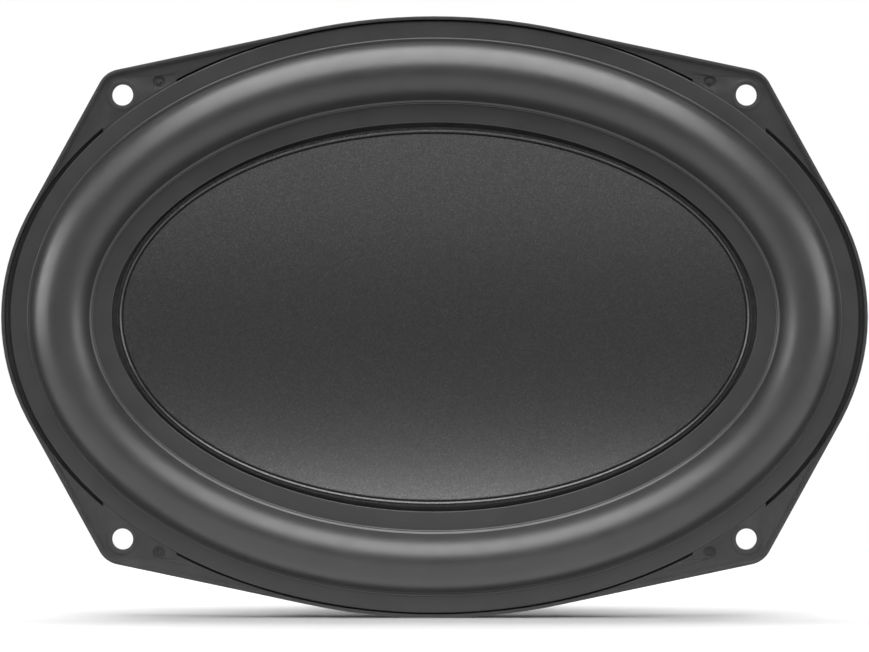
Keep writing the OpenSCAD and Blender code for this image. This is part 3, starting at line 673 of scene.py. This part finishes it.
# %% Helper: soften a CAD piece
def soften(node, name, width_mm):
    """A copy of a CAD node with merged faces and rounded edges."""
    bpy.ops.object.select_all(action="DESELECT")
    piece = frame["nodes"][node].copy()
    piece.data = piece.data.copy()
    bpy.context.scene.collection.objects.link(piece)
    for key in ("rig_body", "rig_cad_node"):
        if key in piece:
            del piece[key]
    piece.parent = None
    piece.name = piece.data.name = name
    bpy.context.view_layer.objects.active = piece
    piece.select_set(True)
    bpy.ops.object.mode_set(mode="EDIT")
    bpy.ops.mesh.select_all(action="SELECT")
    bpy.ops.mesh.remove_doubles(threshold=1e-6)
    bpy.ops.mesh.customdata_custom_splitnormals_clear()
    bpy.ops.object.mode_set(mode="OBJECT")
    bevel = piece.modifiers.new("rounding", "BEVEL")
    bevel.width = width_mm * MM
    bevel.segments = 2
    bevel.limit_method = "ANGLE"
    bevel.angle_limit = math.radians(30)
    bevel.use_clamp_overlap = False
    bpy.ops.object.modifier_apply(modifier="rounding")
    bpy.ops.object.shade_smooth_by_angle(angle=math.radians(35))
    print(name, len(piece.data.polygons), "faces")
    return piece


body_of = {n: b for b, nodes in frame["record"]["behaviour"]["bodies"].items() for n in nodes}


def soften_and_place(node, name, width_mm, slot, material):
    """Softens a CAD node, and puts the copy in its place with its finish."""
    piece = soften(node, name, width_mm)
    dress(piece, material)
    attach(piece, body_of[node])
    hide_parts(node)


# %% [markdown]
# ## The basket
# The basket is one glass-filled nylon moulding: the eared flange with its double lip, the skirt,
# eight ribbed spokes, the spider ledge and the cup over the magnet. Its mould is spark-eroded,
# which leaves an even fine grain.

# %% Basket: finish and shape
basket_plastic = new_finish("grained_nylon", (0.012, 0.012, 0.0125), 0.52,
                            Specular_IOR_Level=0.42)
place = coordinates(basket_plastic)
tint(basket_plastic, noise(basket_plastic, place, 4, detail=6), (0.01, 0.01, 0.0104),
     (0.015, 0.015, 0.0155))
feed(basket_plastic, "Roughness",
     spread(basket_plastic, noise(basket_plastic, place, 2.5), 0.5, 0.62))
raise_grain(basket_plastic, noise(basket_plastic, place, 0.35, detail=3, roughness=0.6), 0.03)
soften_and_place("basket", "basket_moulding", 0.1, "basket_plastic", basket_plastic)

# %% [markdown]
# ## Steel, ferrite and the other motor pieces
# The steel plates are turned and then plated in black zinc, and show fine rings about the axis.
# Ferrite is ground with a straight grain. Foam has open bubbles. Kraft paper has long fibres, and
# the coil shows its turns. These finishes are short recipes from the same few helpers.

# %% Finishes: motor
def metal(name, colour, roughness, ring_mm=0.0, grain_mm=0.3, grain_deep=0.004, depth=0.01):
    """Bare or plated metal, with turning rings about the speaker's axis if ring_mm is given."""
    made = new_finish(name, colour, roughness, 1.0)
    place = coordinates(made)
    feed(made, "Roughness", spread(made, noise(made, place, 6, detail=6),
                                   roughness - 0.03, roughness + 0.05))
    darker = [c * 0.93 for c in colour]
    tint(made, noise(made, place, 9, detail=7), darker, colour)
    raise_grain(made, noise(made, place, grain_mm, detail=3), grain_deep)
    if ring_mm:
        rings = add_node(made, "TexWave", {"Vector": place}, wave_type="RINGS",
                         rings_direction="Y", Scale=1000 / ring_mm / 3.14, Distortion=0.3)
        raise_grain(made, rings.outputs["Fac"], depth)
    return made


plated_steel = metal("black_zinc", (0.2, 0.2, 0.21), 0.34, ring_mm=0.5, depth=0.004)
screw_zinc = metal("screw_zinc", (0.66, 0.67, 0.69), 0.28)
rivet_steel = metal("rivet_steel", (0.6, 0.6, 0.62), 0.34)
rivet_brass = metal("rivet_brass", (0.72, 0.55, 0.26), 0.3)
eyelet_brass = metal("eyelet_brass", (0.74, 0.57, 0.28), 0.28)
tinned_brass = metal("tinned_brass", (0.75, 0.7, 0.56), 0.3)
ring_aluminium = metal("turned_aluminium", (0.8, 0.81, 0.83), 0.3, ring_mm=0.4)
former_foil = metal("former_foil", (0.75, 0.76, 0.78), 0.36)
screen_steel = metal("blackened_steel", (0.11, 0.11, 0.12), 0.42)

ferrite = new_finish("ground_ferrite", (0.045, 0.045, 0.047), 0.42)
place = coordinates(ferrite)
strokes = noise(ferrite, coordinates(ferrite, stretch=(0.05, 1, 1)), 0.5, detail=4)
tint(ferrite, noise(ferrite, place, 3, detail=8, roughness=0.65), (0.032, 0.032, 0.034),
     (0.06, 0.06, 0.063))
feed(ferrite, "Roughness", spread(ferrite, strokes, 0.34, 0.55))
raise_grain(ferrite, strokes, 0.02)
raise_grain(ferrite, noise(ferrite, place, 0.8, detail=5), 0.02)

foam = new_finish("cell_foam", (0.02, 0.02, 0.021), 0.95, Specular_IOR_Level=0.2)
place = coordinates(foam)
cells = add_node(foam, "TexVoronoi", {"Vector": place}, Scale=1000 / 0.55).outputs["Distance"]
tint(foam, cells, (0.012, 0.012, 0.012), (0.03, 0.03, 0.031), 0.1, 0.6)
raise_grain(foam, cells, 0.15)

phenolic = new_finish("phenolic_board", (0.16, 0.075, 0.03), 0.45)
place = coordinates(phenolic)
sheets = noise(phenolic, coordinates(phenolic, stretch=(0.1, 1, 0.1)), 0.25, detail=3)
tint(phenolic, noise(phenolic, place, 1.6, detail=7), (0.1, 0.045, 0.018), (0.2, 0.1, 0.042))
feed(phenolic, "Roughness", spread(phenolic, noise(phenolic, place, 3), 0.36, 0.55))
raise_grain(phenolic, sheets, 0.02)

kraft = new_finish("kraft_paper", (0.4, 0.27, 0.15), 0.85)
place = coordinates(kraft, stretch=(1, 4, 1))
fibres = noise(kraft, place, 1.2, detail=8, roughness=0.7)
tint(kraft, fibres, (0.3, 0.19, 0.1), (0.48, 0.33, 0.19))
raise_grain(kraft, fibres, 0.02)

copper = new_finish("enamelled_copper", (0.62, 0.22, 0.09), 0.25, 1.0, Coat_Weight=0.5)
place = coordinates(copper)
turns = add_node(copper, "TexWave", {"Vector": place}, bands_direction="Y",
                 Scale=1000 / 0.25 / 3.14).outputs["Fac"]
tint(copper, noise(copper, place, 2.5, detail=4), (0.5, 0.16, 0.06), (0.7, 0.28, 0.12))
raise_grain(copper, turns, 0.06)
print("finishes so far:", len(bpy.data.materials))

# %% Shapes: motor, terminals and small parts
for row in [
    ("rear_gasket", "foam_gasket", 0.15, "foam", foam),
    ("top_plate", "front_plate", 0.4, "plated_steel", plated_steel),
    ("magnet", "magnet_ring", 0.25, "ferrite", ferrite),
    ("pole_yoke", "yoke_forging", 0.35, "plated_steel", plated_steel),
    ("shorting_ring", "shorting_sleeve", 0.15, "ring_aluminium", ring_aluminium),
    ("vent_screen", "vent_disc", 0.06, "screen_steel", screen_steel),
    ("motor_screws", "plate_screws", 0.12, "screw_steel", screw_zinc),
    ("terminal_board", "terminal_plate", 0.12, "phenolic", phenolic),
    ("positive_tab", "wide_blade", 0.1, "tinned_brass", tinned_brass),
    ("negative_tab", "narrow_blade", 0.1, "tinned_brass", tinned_brass),
    ("tab_rivets", "blade_rivets", 0.15, "rivet_brass", rivet_brass),
    ("board_rivets", "plate_rivets", 0.15, "rivet_steel", rivet_steel),
    ("lead_eyelets", "cone_eyelets", 0.12, "eyelet_brass", eyelet_brass),
]:
    soften_and_place(*row)

# %% Coil pieces that stay as the CAD made them
for node, material in [("voice_coil_former", former_foil), ("former_collar", kraft),
                       ("voice_coil_winding", copper), ("coil_lead_wires", copper)]:
    dress(frame["nodes"][node], material)
    print(node, "keeps its CAD shape, finish", material.name)

# %% [markdown]
# ## The braided leads
# Two limp leads carry the current from the fixed blades to the moving cone. They are braided
# from copper tinsel: six strands wind one way and six the other, passing over and under each
# other. Only one short repeat is modelled. An array of it makes the whole braid, and a Bezier
# curve bends the braid along its route.

# %% Model one braid
STRAND_R, STRAND_MID, CORE_R = 0.17, 0.56, 0.42
STRANDS, WIND_STEPS, REPEATS = 6, 8, 46
OVER = 0.22


def end_faces(piece, length):
    """Selects the faces that close the two ends of one repeat."""
    bpy.ops.mesh.select_all(action="DESELECT")
    mesh = bmesh.from_edit_mesh(piece.data)
    for face in mesh.faces:
        heights = [v.co.z for v in face.verts]
        face.select_set(max(heights) < 1e-7 or min(heights) > length - 1e-7)
    bmesh.update_edit_mesh(piece.data)


def wind_strands(length, way):
    """Winds six strands a sixth of a turn to one side, going over and under once."""
    swell = lambda k: 1 + way * OVER * math.cos(2 * math.pi * k / WIND_STEPS)
    for k in range(STRANDS):
        turn, reach = 2 * math.pi * k / STRANDS, STRAND_MID * swell(0) * MM
        centre = (reach * math.cos(turn), reach * math.sin(turn), 0)
        bpy.ops.mesh.primitive_circle_add(vertices=6, radius=STRAND_R * MM, fill_type="NGON",
                                          location=centre)
    bpy.ops.mesh.select_all(action="SELECT")
    rise = length / WIND_STEPS
    for k in range(1, WIND_STEPS + 1):
        grow = swell(k) / swell(k - 1)
        bpy.ops.mesh.extrude_region_move(TRANSFORM_OT_translate={"value": (0, 0, rise)})
        bpy.ops.transform.rotate(value=way * 2 * math.pi / STRANDS / WIND_STEPS,
                                 orient_axis="Z", center_override=(0, 0, rise * k))
        bpy.ops.transform.resize(value=(grow, grow, 1), center_override=(0, 0, rise * k))
    bpy.ops.mesh.select_all(action="SELECT")
    bpy.ops.mesh.hide()


def braid(name, length):
    """A straight braid along Z, as long as its route."""
    repeat = length / REPEATS
    piece = start_piece(name)
    wind_strands(repeat, 1)
    wind_strands(repeat, -1)
    bpy.ops.mesh.primitive_circle_add(vertices=12, radius=CORE_R * MM, fill_type="NGON")
    bpy.ops.mesh.extrude_region_move(TRANSFORM_OT_translate={"value": (0, 0, repeat)})
    bpy.ops.mesh.reveal(select=False)
    end_faces(piece, repeat)
    bpy.ops.mesh.delete(type="ONLY_FACE")
    bpy.ops.object.mode_set(mode="OBJECT")
    rows = piece.modifiers.new("repeats", "ARRAY")
    rows.count = REPEATS
    rows.use_relative_offset, rows.use_constant_offset = False, True
    rows.constant_offset_displace = (0, 0, repeat)
    rows.use_merge_vertices, rows.merge_threshold = True, 2e-6
    bpy.ops.object.modifier_apply(modifier="repeats")
    bpy.ops.object.mode_set(mode="EDIT")
    bpy.ops.mesh.select_all(action="SELECT")
    bpy.ops.mesh.fill_holes(sides=12)
    bpy.ops.mesh.select_all(action="SELECT")
    bpy.ops.mesh.normals_make_consistent(inside=False)
    bpy.ops.object.mode_set(mode="OBJECT")
    bpy.ops.object.shade_smooth_by_angle(angle=math.radians(60))
    return piece


# %% Bend the braids along their routes
SOLDER_JOINT, FROM_JOINT = (9, 29.8, -57.6), (0, -0.139, 0.99)
EYELET, FROM_EYELET = (19.761, 17.124, -31.769), (0.3877, 0.8143, -0.4321)
LEAD_REACH = 10


def lead_bend(side):
    """The four Bezier points from the blade's solder joint to the eyelet."""
    start, leave, end, arrive = [Vector((side * x, y, z)) for x, y, z in
                                 (SOLDER_JOINT, FROM_JOINT, EYELET, FROM_EYELET)]
    return [p * MM for p in (start, start + LEAD_REACH * leave, end + LEAD_REACH * arrive, end)]


def bend_length(points):
    """The length of a Bezier curve, measured in short steps."""
    t = np.linspace(0, 1, 400)[:, None]
    a, b, c, d = [np.array(p) for p in points]
    line = (1 - t) ** 3 * a + 3 * (1 - t) ** 2 * t * b + 3 * (1 - t) * t ** 2 * c + t ** 3 * d
    return float(np.linalg.norm(np.diff(line, axis=0), axis=1).sum())


tinsel = metal("copper_tinsel", (0.76, 0.4, 0.24), 0.36, grain_mm=0.12, grain_deep=0.01)
for side, node, name in [(-1, "positive_lead", "positive_braid"),
                         (1, "negative_lead", "negative_braid")]:
    points = lead_bend(side)
    length = bend_length(points)
    lead = braid(name, length)
    shares = places(lead)[:, 2] / length
    bpy.ops.curve.primitive_bezier_curve_add(location=(0, 0, 0))
    route = bpy.context.object
    route.data.resolution_u = 64
    joint, leave, arrive, eyelet = points
    first, last = route.data.splines[0].bezier_points
    for knot, before, at, after in [(first, 2 * joint - leave, joint, leave),
                                    (last, arrive, eyelet, 2 * eyelet - arrive)]:
        knot.handle_left_type = knot.handle_right_type = "FREE"
        knot.co, knot.handle_left, knot.handle_right = at, before, after
    bpy.ops.object.select_all(action="DESELECT")
    bpy.context.view_layer.objects.active = lead
    lead.select_set(True)
    bend = lead.modifiers.new("route", "CURVE")
    bend.object, bend.deform_axis = route, "POS_Z"
    bpy.ops.object.modifier_apply(modifier="route")
    bpy.data.objects.remove(route)
    bent = places(lead)
    print(name, round(length / MM, 1), "mm long,", len(lead.data.polygons), "faces, from",
          (bent.min(0) / MM).round(1), "to", (bent.max(0) / MM).round(1))
    hang_between(lead, shares)
    dress(lead, tinsel)
    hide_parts(node)
